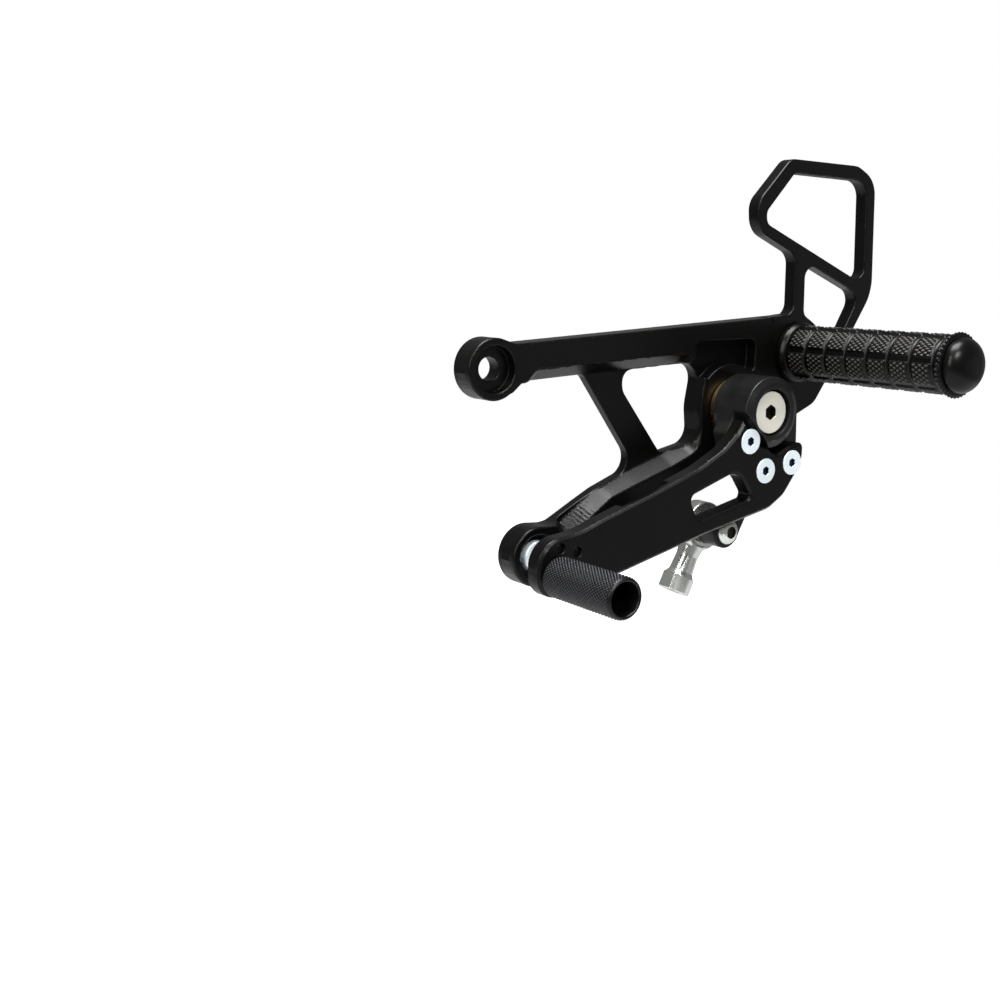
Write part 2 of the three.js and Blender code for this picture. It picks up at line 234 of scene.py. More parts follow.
WINDOW = [
    (70.9, -4.3, 5), (111.4, -2.4, 7), (111.4, -11, 12), (109.2, -22, 20), (110.6, -37.5, 8),
    (92, -41.2, 2.5), (70.2, -12.4, 8),
]
POCKET = [(105.8, 7.2, 3), (142.2, 7.2, 4), (141.4, -7, 2), (112, -9.5, 2), (105.8, -2, 5)]
CARRIER = [
    (113, -24), (108.4, -31.4, 3), (110.5, -38, 6), (120, -51, 8), (126.4, -60, 3), (122.5, -65, 3),
    (108, -67.9), (104, -76), (116, -79.8), (123.4, -67.2, 4), (140, -57.5, 10), (148, -50, 6),
    (152, -40, 5), (151.6, -21, 6), (144.5, -13.2, 6), (136, -11),
]
ARM_SEAT = [(111.2, -21.1), (127.1, -39.1), (118, -48), (102, -30)]
ARM = [
    (107.9, -30.9, 12), (101, -36.8, 14), (87, -43.9, 40), (62, -52, 60), (33, -60.6, 40),
    (24, -63.9, 60), (3.2, -66.2, 11.5), (2.9, -89.4, 9), (22, -88.6, 20), (46, -83.3, 60),
    (66, -78.6, 60), (90, -73, 60), (128.6, -65.6, 12), (137.5, -60.4, 12), (144.6, -51.5, 12),
    (148.4, -45, 8), (148.6, -37.2, 2.5), (140, -38.6, 4), (131, -42, 3), (126, -38.3),
    (112.9, -23.6),
]
ARM_SLOT = [(81.8, -55.6, 3), (109, -46.9, 7), (116.6, -57.9, 2.6), (115.4, -60.3, 1.5), (86.4, -66.6, 3)]
ARM_RELIEF = [(46, -50, 2), (70, -42, 2), (74, -54, 4), (49, -62, 4)]
TIP_HOLES = [(13.8, -69.2), (22.2, -71.5)]


# ---- distance fields ----
def meet(a, b, r=0.0):
    """What two shapes share, the edge between them rounded to radius r."""
    if r == 0:
        return np.maximum(a, b)
    a, b = a + r, b + r
    return np.hypot(np.maximum(a, 0), np.maximum(b, 0)) + np.minimum(np.maximum(a, b), 0) - r


def blend(a, b, r=0.0):
    """Both shapes, with a fillet of radius r between them."""
    return -meet(-a, -b, r)


def carve(a, b, r=0.0):
    """Shape a with b cut away."""
    return meet(a, -b, r)


def bevelled(a, b, width, r):
    """What two shapes share, the edge between them cut at 45 degrees, `width` back on each."""
    return meet(meet(a, (a + b + width) * math.sqrt(0.5), r), b, r)


def reach(x, z, centre):
    """Distance from an axis along Y."""
    return np.hypot(x - centre[0], z - centre[1])


def slab(flat, y, back, front, r):
    """An outline made solid from y = front up to y = back, its edges rounded to radius r."""
    return meet(flat, np.abs(y - (back + front) / 2) - (back - front) / 2, r)


def wave(t):
    """Triangle wave from 0 to 1 with period 1."""
    return 1 - np.abs(2 * (t - np.floor(t)) - 1)


def step_up(t, width):
    """Smooth rise from 0 to 1 as t goes from 0 to width."""
    s = np.clip(t / width, 0, 1)
    return s * s * (3 - 2 * s)


def rounded_ends(corners):
    """Where the arc of each corner (x, z, radius) starts and ends, and the arc itself.

    An arc is its centre, its radius, the direction of its middle and the cosine of half its sweep.
    """
    points = [np.array(corner[:2], float) for corner in corners]
    ends = []
    for i, corner in enumerate(corners):
        p = points[i]
        if len(corner) < 3:
            ends.append((p, p, None))
            continue
        before, after = points[i - 1] - p, points[(i + 1) % len(points)] - p
        before, after = before / np.linalg.norm(before), after / np.linalg.norm(after)
        half = math.acos(before @ after) / 2
        inward = (before + after) / np.linalg.norm(before + after)
        back_off = corner[2] / math.tan(half)
        arc = (p + inward * corner[2] / math.sin(half), corner[2], -inward, math.sin(half))
        ends.append((p + before * back_off, p + after * back_off, arc))
    return ends


def beside(x, z, a, b):
    """Whether a ray towards +X crosses the line from a to b."""
    if a[1] == b[1]:
        return np.zeros(np.broadcast(x, z).shape, bool)
    return ((a[1] > z) != (b[1] > z)) & (x < (b[0] - a[0]) * (z - a[1]) / (b[1] - a[1]) + a[0])


def outline(corners):
    """The distance field of a rounded outline, exact on its lines and arcs."""
    ends = rounded_ends(corners)

    def field(x, z):
        distance = np.full(np.broadcast(x, z).shape, 1e6)
        inside = np.zeros(distance.shape, bool)
        for i, (start, end, arc) in enumerate(ends):
            following = ends[(i + 1) % len(ends)][0]
            along = following - end
            share = ((x - end[0]) * along[0] + (z - end[1]) * along[1]) / max(along @ along, 1e-9)
            share = np.clip(share, 0, 1)
            line = np.hypot(x - end[0] - share * along[0], z - end[1] - share * along[1])
            distance = np.minimum(distance, line)
            inside ^= beside(x, z, end, following)
            if arc:
                centre, radius, middle, spread = arc
                spoke = reach(x, z, centre)
                ahead = (x - centre[0]) * middle[0] + (z - centre[1]) * middle[1]
                near = np.where(ahead >= spoke * spread, np.abs(spoke - radius), 1e6)
                distance = np.minimum(distance, near)
                inside ^= beside(x, z, start, end)
                inside ^= (spoke < radius) & (ahead > radius * spread)
        return np.where(inside, -distance, distance)

    return field


main_flat = outline(MAIN)
guard_flat = outline(GUARD)
guard_window_flats = [outline(corners) for corners in GUARD_WINDOWS]
recess_flat = outline(RECESS)
window_flat = outline(WINDOW)
pocket_flat = outline(POCKET)
carrier_flat = outline(CARRIER)
seat_flat = outline(ARM_SEAT)
arm_flat = outline(ARM)
slot_flat = outline(ARM_SLOT)
relief_flat = outline(ARM_RELIEF)


def bracket_shape(x, y, z):
    """Machined plate with its recess, window, pocket, heel guard, bosses and bores."""
    flat = blend(main_flat(x, z), reach(x, z, UPPER) - BOSS_R, 2.5)
    flat = blend(flat, reach(x, z, LOWER) - BOSS_R, 2)
    flat = blend(flat, reach(x, z, PEG) - PAD_R, 3)
    solid = slab(flat, y, 0, PLATE_FACE, 1.0)
    # The recess's sides lean out, with ridges left by the cutter at the lower end.
    lean = math.atan2(RECESS_LEAN, WEB_FACE - PLATE_FACE)
    along = (x - RIDGE_START[0]) * RIDGE_HEADING[0] + (z - RIDGE_START[1]) * RIDGE_HEADING[1]
    fade = np.clip(1 - along / RIDGE_RUN, 0, 1) * (z < RIDGE_TOP)
    ridges = RIDGE_DEPTH * np.sin(along * 2 * math.pi / RIDGE_PITCH) * fade
    sides = (recess_flat(x, z) - (WEB_FACE - y) * math.tan(lean)) * math.cos(lean) + ridges
    solid = carve(solid, meet(sides, y - WEB_FACE, 0.8), 0.6)
    solid = carve(solid, window_flat(x, z), 0.9)
    pocket = meet(pocket_flat(x, z), POCKET_KEEP_R - reach(x, z, PIVOT), 0.5)
    solid = carve(solid, meet(pocket, y - POCKET_FACE, 0.8), 0.6)
    guard = guard_flat(x, z)
    for window in guard_window_flats:
        guard = carve(guard, window(x, z))
    solid = blend(solid, slab(guard, y, GUARD_BACK, PLATE_FACE, 0.9), 0.6)
    solid = blend(solid, slab(reach(x, z, LOWER) - BOSS_R, y, 0, PLATE_FACE, 1.0), 0.8)
    for bolt in (UPPER, LOWER):
        solid = carve(solid, reach(x, z, bolt) - BORE_R, 0.3)
        solid = carve(solid, meet(reach(x, z, bolt) - COUNTERBORE_R, y - COUNTERBORE_Y, 0.3), 0.7)
    solid = carve(solid, meet(reach(x, z, PEG) - PEG_BORE_R, PEG_BORE_Y - y), 0.3)
    return carve(solid, reach(x, z, PIVOT) - PIVOT_BOLT_R, 0.3)


def arm_shape(x, y, z):
    """Gear-lever arm, bevelled on its outboard face, with its slot, relief and holes."""
    face = ARM_FACE - y
    solid = bevelled(arm_flat(x, z), face, ARM_BEVEL, 0.22)
    solid = meet(solid, y - ARM_BACK, 0.5)
    solid = meet(solid, bevelled(-slot_flat(x, z), face, SLOT_BEVEL, 0.2))
    solid = carve(solid, meet(relief_flat(x, z), ARM_BACK - RELIEF_DEPTH - y, 0.6), 0.4)
    solid = carve(solid, reach(x, z, PIVOT) - HUB_R - HUB_GAP, 0.35)
    for axis in SCREWS:
        seat = meet(reach(x, z, axis) - SCREW_SEAT_R, y - ARM_FACE - SCREW_SEAT_DEPTH)
        solid = carve(solid, seat, 0.15)
    for hole in TIP_HOLES:
        solid = meet(solid, bevelled(TIP_HOLE_R - reach(x, z, hole), face, 0.35, 0.1))
    return solid


def hub_shape(x, y, z):
    """Turned hub with the carrier that the arm and the rod end are screwed to."""
    out = reach(x, z, PIVOT)
    lip = (out - HUB_R) * LIP_DEEP + (HUB_FACE + LIP_DEEP - y) * LIP_WIDE
    lip = lip / math.hypot(LIP_DEEP, LIP_WIDE)
    barrel = meet(meet(out - HUB_R, lip, 0.3), HUB_FACE - y, 0.3)
    barrel = meet(barrel, y - HUB_BACK, 0.6)
    barrel = carve(barrel, meet(seat_flat(x, z), y - FLANGE_FACE), 0.25)
    carrier = slab(carrier_flat(x, z), y, FLANGE_FACE + CARRIER_THICK, FLANGE_FACE, 0.6)
    rod_boss = slab(reach(x, z, ROD) - ROD_BOSS_R, y, ROD_Y - 6, FLANGE_FACE, 0.5)
    solid = blend(blend(barrel, carrier, 1.0), rod_boss, 0.8)
    solid = carve(solid, out - HUB_BORE_R)
    return carve(solid, meet(out - HUB_HEAD_R, y - HUB_HEAD_Y), 0.3)


def hexagon(u, v, flats):
    """Hexagon with two flats facing +-u."""
    s = math.sqrt(3) / 2
    sides = np.maximum(np.abs(u), np.maximum(np.abs(u / 2 + v * s), np.abs(u / 2 - v * s)))
    return sides - flats / 2


def rod_end_shape(x, y, z):
    """Eye round the ball, then a waisted shank and a hexagonal end with a bore."""
    along = -(x - ROD[0]) * math.sin(ROD_TILT) - (z - ROD[1]) * math.cos(ROD_TILT)
    across = (x - ROD[0]) * math.cos(ROD_TILT) - (z - ROD[1]) * math.sin(ROD_TILT)
    side = y - ROD_Y
    round_shank = np.hypot(across, side)
    out = reach(x, z, ROD)
    eye = meet(out - EYE_R, np.abs(side) - EYE_HALF, 0.9)
    girth = np.interp(along, ROD_STATIONS, ROD_GIRTHS)
    shank = meet(round_shank - girth, along - ROD_LENGTH, 0.4)
    shank = meet(shank, meet(SHANK_START - out, -along), 0.4)
    solid = blend(eye, shank, 0.8)
    ends = np.abs(along - ROD_HEX_MIDDLE) - ROD_HEX_HALF
    nut = meet(meet(hexagon(across, side, ROD_HEX), round_shank - 7.25, 0.2), ends, 0.5)
    solid = blend(solid, nut, 0.3)
    solid = carve(solid, np.sqrt(out ** 2 + side ** 2) - BALL_SEAT_R, 0.25)
    return carve(solid, meet(round_shank - ROD_BORE_R, ROD_BORE_START - along), 0.5)


def screw_shape(node, radius, rim, shank, flats, depth, sink=0.0, dome=0.0, outward=True):
    """Screw along Y that fills its node's length: a head with a hexagonal socket, then a shank.

    The head's rim is `rim` deep, with `sink` of cone under it or a face domed by `dome`. The shank is
    threaded past the middle of the screw. `flats` and `depth` are the socket's.
    """
    axis = axis_of(node)
    face, tip = (low(node)[1], high(node)[1]) if outward else (high(node)[1], low(node)[1])
    side = math.copysign(1, tip - face)
    length = abs(tip - face)
    thread_pitch = 1.25 if shank > 3.5 else 1.0

    def field(x, y, z):
        out = reach(x, z, axis)
        down = (y - face) * side
        head = meet(out - radius + np.clip(down - rim, 0, None) * (1 if sink else 0), -down, 0.25)
        head = meet(head, down - rim - sink, 0.2)
        if dome:
            ball = (radius ** 2 + dome ** 2) / (2 * dome)
            head = meet(head, np.hypot(out, down - ball) - ball, 0.3)
        turn = np.arctan2(z - axis[1], x - axis[0]) / (2 * math.pi)
        threaded = step_up(down - length * 0.45, 1)
        thread = THREAD_DEPTH * wave(down / thread_pitch + turn) * threaded
        body = meet(meet(out - shank + thread, down - length, 0.6), rim - down)
        socket = meet(hexagon(x - axis[0], z - axis[1], flats), down - depth, 0.15)
        return carve(blend(head, body), socket, 0.18)
    return field


def nut_shape(node, flats, bore):
    """Hexagonal nut with turned corners."""
    axis = axis_of(node)
    back, front = high(node)[1], low(node)[1]

    def field(x, y, z):
        out = reach(x, z, axis)
        middle = np.abs(y - (back + front) / 2) - (back - front) / 2
        corner = (out - flats / 2 + (middle + 0.4) * 1.7) / math.hypot(1, 1.7)
        solid = meet(meet(hexagon(x - axis[0], z - axis[1], flats), middle, 0.2), corner, 0.15)
        return carve(solid, out - bore, 0.3)
    return field


# ---- meshes ----
def finished(name, points, faces, normals=None, knurl_top_light=None, crease=38):
    """A mesh object from points in millimetres.

    The values per point are 1 on a knurl's tops, which the shader paints lighter as a painted highlight,
    and 0 in a groove.
    """
    mesh = bpy.data.meshes.new(name)
    mesh.from_pydata((points * MM).tolist(), [], faces)
    if knurl_top_light is not None:
        tops = mesh.attributes.new("knurl_top_light", "FLOAT", "POINT")
        tops.data.foreach_set("value", knurl_top_light.astype(np.float32).ravel())
    mesh.shade_smooth()
    if normals is None:
        weld(mesh)
        mesh.set_sharp_from_angle(angle=math.radians(crease))
    else:
        mesh.normals_split_custom_set(normals.tolist())
    obj = bpy.data.objects.new(name, mesh)
    bpy.context.scene.collection.objects.link(obj)
    return obj


def weld(mesh):
    """Joins the points that lie together on the turning axis, and faces every face outwards."""
    work = bmesh.new()
    work.from_mesh(mesh)
    bmesh.ops.remove_doubles(work, verts=work.verts, dist=2e-6)
    bmesh.ops.recalc_face_normals(work, faces=work.faces)
    work.to_mesh(mesh)
    work.free()


def slope(field, points, step=0.02):
    """The field's gradient at each point."""
    parts = []
    for i in range(3):
        ahead, behind = points.copy(), points.copy()
        ahead[:, i] += step
        behind[:, i] -= step
        parts.append((field(*ahead.T) - field(*behind.T)) / (2 * step))
    return np.stack(parts, 1)


def carved(name, field, node, step):
    """Mesh of a distance field over a CAD node's box, its points then moved onto the field's surface."""
    step *= COARSE
    band = BAND * step
    floor, ceiling = low(node) - band, high(node) + band
    x, y, z = (np.arange(a, b, step) for a, b in zip(floor, ceiling))

    def sliced(some):
        return np.clip(field(some[:, None, None], y[None, :, None], z[None, None, :]), -band, band)

    with ThreadPoolExecutor(4) as workers:
        values = np.concatenate(list(workers.map(sliced, np.array_split(x, SLICES))))
    grid = openvdb.FloatGrid(band)
    grid.copyFromArray(np.ascontiguousarray(values, np.float32))
    points, triangles, quads = grid.convertToPolygons(isovalue=0.0, adaptivity=ADAPTIVITY)
    points = points.astype(float) * step + floor
    for _ in range(2):
        normals = slope(field, points)
        lengths = np.maximum((normals ** 2).sum(1), 0.1)
        off = np.clip(field(*points.T) / lengths, -step / 2, step / 2)
        points -= normals * off[:, None]
    normals = slope(field, points)
    normals /= np.maximum(np.linalg.norm(normals, axis=1), 1e-6)[:, None]
    quads, triangles = quads.astype(int), triangles.astype(int)
    corner_normals = [kept_flat(points, normals, faces, step) for faces in (quads, triangles)]
    return finished(name, points, quads.tolist() + triangles.tolist(), np.concatenate(corner_normals))


def kept_flat(points, normals, faces, step):
    """A normal for each corner of each face: a large face takes none of the curve of the edge beside it."""
    chosen = normals[faces]
    places = points[faces]
    spans = np.linalg.norm(places - np.roll(places, 1, 1), axis=2).max(1)
    square = np.cross(places[:, 2] - places[:, 0], places[:, -1] - places[:, 1])
    square /= np.maximum(np.linalg.norm(square, axis=1), 1e-9)[:, None]
    flattest = np.abs((chosen * square[:, None]).sum(2)).argmax(1)
    flat = chosen[np.arange(len(faces)), flattest][:, None]
    bent = ((chosen * flat).sum(2) < math.cos(math.radians(6))) & (spans > 1.6 * step)[:, None]
    return np.where(bent[:, :, None], flat, chosen).reshape(-1, 3)


def wrapped(name, radius, angle, y, axis, knurl_top_light=None, crease=38):
    """Closed mesh of rings of points round an axis along Y, the last ring joined to the first."""
    count, around = radius.shape
    points = np.stack([
        axis[0] + radius * np.cos(angle), y, axis[1] + radius * np.sin(angle)], 2).reshape(-1, 3)
    here = np.arange(count)[:, None] * around + np.arange(around)[None, :]
    there = np.roll(here, -1, 0)
    corners = [here, np.roll(here, -1, 1), np.roll(there, -1, 1), there]
    faces = np.stack(corners, 2).reshape(-1, 4).tolist()
    return finished(name, points, faces, knurl_top_light=knurl_top_light, crease=crease)


def arc_points(corners, turn=math.radians(12)):
    """The points of a rounded outline of (radius, y, corner radius)."""
    points = []
    for start, end, arc in rounded_ends(corners):
        if arc is None:
            points.append(start)
            continue
        centre = arc[0]
        first = math.atan2(*(start - centre)[::-1])
        sweep = (math.atan2(*(end - centre)[::-1]) - first + math.pi) % (2 * math.pi) - math.pi
        steps = max(2, round(abs(sweep) / turn))
        points += [centre + arc[1] * np.array([math.cos(t), math.sin(t)])
                   for t in first + sweep * np.arange(steps + 1) / steps]
    return np.array(points)


def turned(name, corners, axis, around=120):
    """Solid turned about an axis along Y from a closed outline of (radius, y, corner radius)."""
    profile = arc_points(corners)
    angle = np.arange(around) * 2 * math.pi / around
    rings = np.broadcast_arrays(profile[:, :1], angle[None, :], profile[:, 1:])
    return wrapped(name, *rings, axis)


def diamonds(angle, y, pitch_y, count):
    """Height from 0 to 1 of a diamond knurl: pyramids between two families of helical grooves."""
    along, around = y / pitch_y, angle * count / (2 * math.pi)
    return np.clip(1.25 * np.minimum(wave(along + around), wave(along - around)), 0, 1)


def knurled(name, node, spacing, around, height, ends):
    """Sleeve round Y, closed past its tip by the (radius, y) points of `ends`.

    `height` gives the surface's radius, and how much lighter its tops are painted as a highlight, at an
    angle and a y.
    """
    back, tip = high(node)[1], low(node)[1]
    rows = np.linspace(back, tip, int((back - tip) / (spacing * COARSE)) + 1)[:, None]
    angle = (np.arange(around) * 2 * math.pi / around)[None, :]
    angle, y = np.broadcast_arrays(angle, rows)
    radius, knurl_top_light = height(angle, y)
    for end_radius, end_y in ends:
        radius = np.vstack([radius, np.full((1, around), end_radius)])
        knurl_top_light = np.vstack([knurl_top_light, np.zeros((1, around))])
        y = np.vstack([y, np.full((1, around), end_y)])
    angle = np.broadcast_to(angle[:1], radius.shape)
    return wrapped(name, radius, angle, y, axis_of(node), knurl_top_light, crease=62)


def grip_radius(angle, y):
    """Knurled pads between lengthwise and ring grooves, then a knurled end flange."""
    nearest = np.clip(np.round((GROOVE_START - y) / GROOVE_PITCH), 0, GROOVE_COUNT - 1)
    from_ring = np.abs(y - GROOVE_START + nearest * GROOVE_PITCH)
    turn = 2 * math.pi / FLUTES
    from_flute = np.abs((angle - FLUTE_TURN + turn / 2) % turn - turn / 2) * GRIP_R
    edge = np.minimum(from_ring - GROOVE_HALF, from_flute - FLUTE_HALF)
    edge = np.minimum(edge, GRIP_BACK - 0.4 - y)
    pads = step_up(edge, PAD_RISE)
    knurl = diamonds(angle, y, *GRIP_KNURL) * step_up(edge - PAD_RISE, PAD_RISE)
    floor = GROOVE_FLOOR_R + 0.3 * np.clip(from_ring / GROOVE_HALF, 0, 1) ** 2
    radius = floor + (LAND_R - floor) * pads + GRIP_KNURL_HEIGHT * knurl * pads
    flange = step_up(FLANGE_BACK - y, 0.5) * step_up(y - GRIP_END, 0.6)
    teeth = diamonds(angle, y + 0.6, *GRIP_KNURL)
    rim = LAND_R + flange * (FLANGE_R - 0.6 - LAND_R + 0.6 * teeth)
    at_rim = y < FLANGE_BACK
    # The second value is how much lighter the knurl's tops are painted, a painted highlight; the grooves
    # stay dark.
    return np.where(at_rim, rim, radius), np.where(at_rim, 0.4 * teeth * flange, knurl * pads + 0.1)


def toe_radius(angle, y):
    """A fine knurl that stops short of both ends, and a rounded tip."""
    knurl = diamonds(angle, y, *TOE_KNURL)
    ends = step_up(TOE_BACK - 0.4 - y, 0.4) * step_up(y - TOE_END - 1.0, 0.3)
    tip = 0.7 * (1 - step_up(y - TOE_END, 0.8))
    # The second value is how much lighter the knurl's tops are painted, a painted highlight.
    return TOE_R - tip + TOE_KNURL_HEIGHT * knurl * ends, knurl * ends


# ---- materials ----
def noise(nodes, links, place, scale, detail):
    """A noise from about 0.3 to 0.7 with `scale` lumps to the metre."""
    texture = nodes.new("ShaderNodeTexNoise")
    texture.inputs["Scale"].default_value = scale
    texture.inputs["Detail"].default_value = detail
    links.new(place, texture.inputs["Vector"])
    return texture.outputs["Fac"]


def ranged(nodes, links, value, start, end, source=(0.3, 0.7)):
    """The value moved from the range `source` to the range from start to end."""
    spread = nodes.new("ShaderNodeMapRange")
    spread.inputs["From Min"].default_value, spread.inputs["From Max"].default_value = source
    spread.inputs["To Min"].default_value, spread.inputs["To Max"].default_value = start, end
    links.new(value, spread.inputs["Value"])
    return spread.outputs["Result"]


def material(name, colour, metallic, roughness, vary, grain, depth, shade=0.0, specular=0.5, top_highlight=None):
    """Metal finish: a cloudy noise moves its roughness by `vary`, and a fine one raises its surface.

    The cloud also moves the colour, by the share `shade`. Given a colour for a knurl's tops, the colour
    goes instead from `colour` in its grooves to that lighter colour on its tops, a painted highlight.
    """
    made = bpy.data.materials.new(name)
    made.use_nodes = True
    nodes, links = made.node_tree.nodes, made.node_tree.links
    shader = nodes["Principled BSDF"]
    shader.inputs["Metallic"].default_value = metallic
    shader.inputs["Specular IOR Level"].default_value = specular
    place = nodes.new("ShaderNodeTexCoord").outputs["Object"]
    cloud = noise(nodes, links, place, 60, 1)
    fine = noise(nodes, links, place, grain, 2)
    links.new(ranged(nodes, links, cloud, roughness - vary, roughness + vary), shader.inputs["Roughness"])
    if top_highlight:
        # Painted highlight: the tops of a knurl are painted lighter than its grooves.
        knurl_top_light = nodes.new("ShaderNodeAttribute")
        knurl_top_light.attribute_name = "knurl_top_light"
        source, stops, colours = knurl_top_light.outputs["Fac"], (0.45, 1), (colour, top_highlight)
    else:
        source, stops = cloud, (0.3, 0.7)
        colours = [[channel * change for channel in colour] for change in (1 - shade, 1 + shade)]
    ramp = nodes.new("ShaderNodeValToRGB")
    for element, stop, tone in zip(ramp.color_ramp.elements, stops, colours):
        element.position = stop
        element.color = (*tone, 1)
    links.new(source, ramp.inputs["Fac"])
    links.new(ramp.outputs["Color"], shader.inputs["Base Color"])
    bump = nodes.new("ShaderNodeBump")
    bump.inputs["Strength"].default_value = depth
    bump.inputs["Distance"].default_value = 0.0002
    links.new(fine, bump.inputs["Height"])
    links.new(bump.outputs["Normal"], shader.inputs["Normal"])
    return made


black = material("black_anodised", (0.0013, 0.0012, 0.0011), metallic=0.0, roughness=0.3, vary=0.015,
                 grain=9000, depth=0.05, shade=0.08, specular=0.16)
# A lighter copy of the anodised black, with a stronger cloudy tone, used on the lever's hub.
lighter_mottled_black = material("lighter_mottled_anodised", (0.0045, 0.0045, 0.0044), metallic=0.0, roughness=0.32,
                         vary=0.05, grain=7000, depth=0.12, shade=0.45, specular=0.24)
# The knurls of the grip and the toe peg have their tops painted lighter, a painted highlight.
grip_black = material("grip_anodised", (0.001, 0.001, 0.001), metallic=0.0, roughness=0.32, vary=0.05,
                      grain=5000, depth=0.2, specular=0.2, top_highlight=(0.055, 0.053, 0.048))
toe_black = material("toe_anodised", (0.001, 0.001, 0.0015), metallic=0.0, roughness=0.3, vary=0.05,
                     grain=5000, depth=0.2, specular=0.25, top_highlight=(0.05, 0.053, 0.062))
zinc = material("zinc_plate", (0.8, 0.89, 0.93), metallic=0.45, roughness=0.34, vary=0.06,
                grain=6000, depth=0.1, shade=0.06)
pivot_zinc = material("pivot_zinc_plate", (0.66, 0.645, 0.57), metallic=0.4, roughness=0.36, vary=0.08,
                      grain=3000, depth=0.2, shade=0.14)
rod_zinc = material("rod_zinc_plate", (0.58, 0.6, 0.57), metallic=0.9, roughness=0.24, vary=0.07,
                    grain=4000, depth=0.15, shade=0.1)
steel = material("bare_steel", (0.55, 0.55, 0.54), metallic=1.0, roughness=0.22, vary=0.04,
                 grain=5000, depth=0.08, shade=0.05)
# Painted shade: dark colours put on the faces inside the screws' hexagonal sockets, where shade falls.
socket_painted_shade_blue = material("socket_painted_shade_blue", (0.05, 0.09, 0.16), metallic=1.0, roughness=0.45, vary=0.06,
                       grain=4000, depth=0.2, shade=0.2)
socket_painted_shade_brown = material("socket_painted_shade_brown", (0.05, 0.045, 0.035), metallic=1.0, roughness=0.5, vary=0.06,
                        grain=4000, depth=0.2, shade=0.2)
bronze = material("bearing_bronze", (0.5, 0.34, 0.16), metallic=1.0, roughness=0.33, vary=0.06,
                  grain=4000, depth=0.15, shade=0.12)


# ---- pieces ----
body_of = {node: body for body, nodes in frame["record"]["behaviour"]["bodies"].items() for node in nodes}


def place(piece, node, finish):
    """Gives a piece its finish and the body of the CAD node that it replaces, and hides that node."""
    piece.data.materials.append(finish)
    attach(piece, body_of[node])
    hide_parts(node)


def solid(node, field, step, finish):
    """A piece meshed from its field at a step in millimetres."""
    piece = carved(node + "_looks", field, node, step)
    place(piece, node, finish)
    return piece


def screw(node, step, finish, socket=None, socket_r=0.0, **sizes):
    """A screw; faces within `socket_r` of its axis, behind its outboard face, take `socket`, a painted
    shade.
    """
    piece = solid(node, screw_shape(node, **sizes), step, finish)
    if socket:
        piece.data.materials.append(socket)
        # The faces inside the socket take the painted shade.
        centres = np.array([face.center for face in piece.data.polygons]) / MM
        inside = reach(centres[:, 0], centres[:, 2], axis_of(node)) < socket_r
        inside &= centres[:, 1] > low(node)[1] + 0.3
        piece.data.polygons.foreach_set("material_index", inside.astype(np.int32))


def lathe(node, corners, finish):
    """A turned piece from its outline of (radius, y, corner radius)."""
    place(turned(node + "_looks", corners, axis_of(node)), node, finish)


solid("bracket", bracket_shape, 0.36, black)
solid("lever_arm", arm_shape, 0.3, black)
solid("lever_hub", hub_shape, 0.25, lighter_mottled_black)
solid("rod_end", rod_end_shape, 0.2, rod_zinc)

screw("frame_bolt_lower", 0.26, zinc, radius=6.75, rim=4.6, shank=4, flats=5, depth=2.6)
screw("peg_bolt", 0.32, zinc, radius=6.5, rim=5, shank=4, flats=6, depth=2.8, outward=False)
screw("pivot_bolt", 0.25, pivot_zinc, socket_painted_shade_brown, 3.7,
      radius=9.2, rim=0.9, shank=5, flats=6, depth=3.6, sink=4.2)
solid("pivot_nut", nut_shape("pivot_nut", flats=17, bore=5.3), 0.25, zinc)
for lever_screw in ("lever_screw_1", "lever_screw_2", "lever_screw_3"):
    screw(lever_screw, 0.2, zinc, socket_painted_shade_blue, 2.4,
          radius=5.5, rim=0.7, shank=3, flats=3.6, depth=2.2, sink=2.5)
screw("toe_peg_bolt", 0.26, zinc, radius=5, rim=5.2, shank=3, flats=5, depth=3)
screw("rod_bolt", 0.22, rod_zinc, socket_painted_shade_brown, 2.7,
      radius=5.5, rim=3.6, shank=4, flats=4.6, depth=2.4, dome=2.4)
solid("rod_nut", nut_shape("rod_nut", flats=13, bore=4.3), 0.22, zinc)

lathe("peg_collar", [
    (COLLAR_BORE_R, COLLAR_BACK), (FLANGE_R, COLLAR_BACK, 0.6), (FLANGE_R + 0.1, COLLAR_FRONT + 2.1, 1.6),
    (12.8, COLLAR_FRONT + 0.4, 0.7), (12.2, COLLAR_FRONT), (COLLAR_BORE_R, COLLAR_FRONT)], black)
CAP_BACK = GRIP_END - 0.3
dome = [(CAP_R * math.cos(t), CAP_TIP + CAP_DOME - CAP_DOME * math.sin(t))
        for t in np.linspace(0, math.pi / 2, 24)]
lathe("peg_cap", [
    (0, CAP_ROOT), (CAP_STEM_R - 0.5, CAP_ROOT), (CAP_STEM_R, CAP_ROOT - 1), (CAP_STEM_R, CAP_BACK),
    (CAP_R, CAP_BACK, 0.3)] + dome, black)
lathe("pivot_sleeve", [
    (PIVOT_BOLT_R, SLEEVE_TIP + 1.6), (SLEEVE_R - 0.3, SLEEVE_TIP), (SLEEVE_R, SLEEVE_TIP, 0.1),
    (SLEEVE_R, COLLAR_BACK, 0.3), (PIVOT_BOLT_R, COLLAR_BACK)], steel)
lathe("thrust_ring", [
    (SLEEVE_R + 0.3, COLLAR_BACK), (THRUST_R, COLLAR_BACK, 0.5), (THRUST_R, THRUST_FRONT, 0.5),
    (SLEEVE_R + 0.3, THRUST_FRONT)], bronze)
lathe("hub_bushing", [
    (SLEEVE_R + 0.08, HUB_BACK), (BUSH_R, HUB_BACK, 0.3), (BUSH_R, BUSH_FRONT, 0.5),
    (SLEEVE_R + 0.08, BUSH_FRONT, 0.3)], bronze)
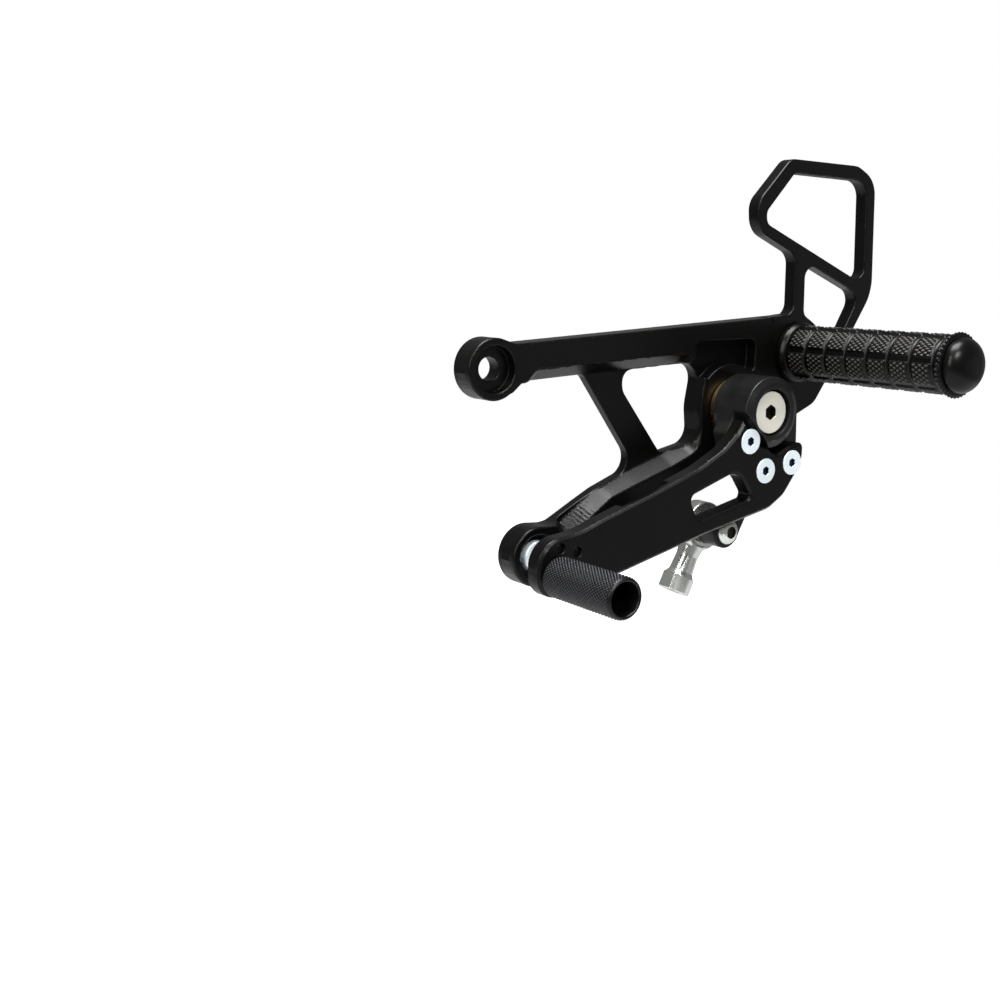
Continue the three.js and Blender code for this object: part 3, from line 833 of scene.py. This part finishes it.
band = [(BALL_R * math.cos(t), ROD_Y + BALL_R * math.sin(t))
        for t in np.linspace(-1, 1, 28) * math.asin(BALL_HALF / BALL_R)]
lathe("rod_end_ball", [(BALL_BORE_R, ROD_Y - BALL_HALF)] + band + [(BALL_BORE_R, ROD_Y + BALL_HALF)], steel)

grip = knurled("peg_grip_looks", "peg_grip", 0.28, 300, grip_radius, [
    (GRIP_BORE_R, GRIP_END), (GRIP_BORE_R, GRIP_BORE_END), (PEG_BOLT_R, GRIP_BORE_END),
    (PEG_BOLT_R, GRIP_BACK)])
place(grip, "peg_grip", grip_black)
toe = knurled("toe_peg_looks", "toe_peg", 0.22, 280, toe_radius, [
    (TOE_BORE_R + 0.6, TOE_END), (TOE_BORE_R + 0.3, TOE_END + 0.15), (TOE_BORE_R, TOE_END + 0.6),
    (TOE_BORE_R, TOE_BORE_END), (TOE_BOLT_R, TOE_BORE_END), (TOE_BOLT_R, TOE_BACK)])
place(toe, "toe_peg", toe_black)


# ---- camera, light and floor ----
def put(data, name, spot, at):
    """A camera or light at a spot, turned to look at a point."""
    thing = bpy.data.objects.new(name, data)
    bpy.context.scene.collection.objects.link(thing)
    thing.location = spot
    thing.rotation_euler = (Vector(at) - thing.location).to_track_quat("-Z", "Y").to_euler()
    return thing


def softbox(name, spot, at, wide, tall, watts, tint=(1, 1, 1)):
    """A rectangular light, its sides in metres."""
    light = bpy.data.lights.new(name, "AREA")
    light.shape = "RECTANGLE"
    light.size, light.size_y = wide, tall
    light.energy = watts
    light.color = tint
    return put(light, name, spot, at)


AZIMUTH, ELEVATION = math.radians(-34.14), math.radians(10.55)
EYE = Vector((-0.28965, -0.44206, 0.04447))
LOOKING = Vector((
    -math.sin(AZIMUTH) * math.cos(ELEVATION),
    math.cos(AZIMUTH) * math.cos(ELEVATION),
    -math.sin(ELEVATION),
))
lens = bpy.data.cameras.new("camera")
lens.lens, lens.sensor_width = 47.41, 36
lens.clip_start, lens.clip_end = 0.01, 50
bpy.context.scene.camera = put(lens, "camera", EYE, EYE + LOOKING)

LIT = (0.1, -0.04, 0)    # the point that every light looks at
softbox("overhead", (0.0, -0.1, 1.1), LIT, wide=0.8, tall=0.6, watts=36)
softbox("left", (-1.0, -0.35, 0.5), LIT, wide=0.3, tall=0.8, watts=9, tint=(1, 0.96, 0.92))
softbox("front", (-0.35, -1.1, 0.9), LIT, wide=0.5, tall=0.3, watts=16)
softbox("right", (0.8, -1.0, -0.05), LIT, wide=1.1, tall=0.6, watts=0.6)

# The background and the floor are white to the camera, and dimmer as lights.
world = bpy.data.worlds.new("studio")
world.use_nodes = True
bpy.context.scene.world = world
nodes, links = world.node_tree.nodes, world.node_tree.links
seen = nodes.new("ShaderNodeLightPath")
strength = ranged(nodes, links, seen.outputs["Is Camera Ray"], 0.24, 1.0, (0, 1))
links.new(strength, nodes["Background"].inputs["Strength"])
nodes["Background"].inputs["Color"].default_value = (1, 1, 1, 1)

PAPER_R = 1.0            # in metres, as are the next two
PAPER_Y = 0.3
PAPER_Z = cad_box[0][2] - 0.2
floor_mesh = bpy.data.meshes.new("floor")
corners = [(PAPER_R * math.cos(t), PAPER_Y + PAPER_R * math.sin(t), PAPER_Z)
           for t in np.linspace(0, 2 * math.pi, 97)[:-1]]
floor_mesh.from_pydata(corners, [], [tuple(range(len(corners)))])
floor = bpy.data.objects.new("floor", floor_mesh)
bpy.context.scene.collection.objects.link(floor)
paper = bpy.data.materials.new("paper")
paper.use_nodes = True
paper_shader = paper.node_tree.nodes["Principled BSDF"]
paper_shader.inputs["Base Color"].default_value = (0.5, 0.5, 0.5, 1)
paper_shader.inputs["Roughness"].default_value = 0.9
paper_shader.inputs["Emission Color"].default_value = (1, 1, 1, 1)
paper_seen = paper.node_tree.nodes.new("ShaderNodeLightPath").outputs["Is Camera Ray"]
paper_glow = ranged(paper.node_tree.nodes, paper.node_tree.links, paper_seen, 0.0, 0.9, (0, 1))
paper.node_tree.links.new(paper_glow, paper_shader.inputs["Emission Strength"])
floor_mesh.materials.append(paper)

bpy.context.scene.view_settings.view_transform = "Standard"
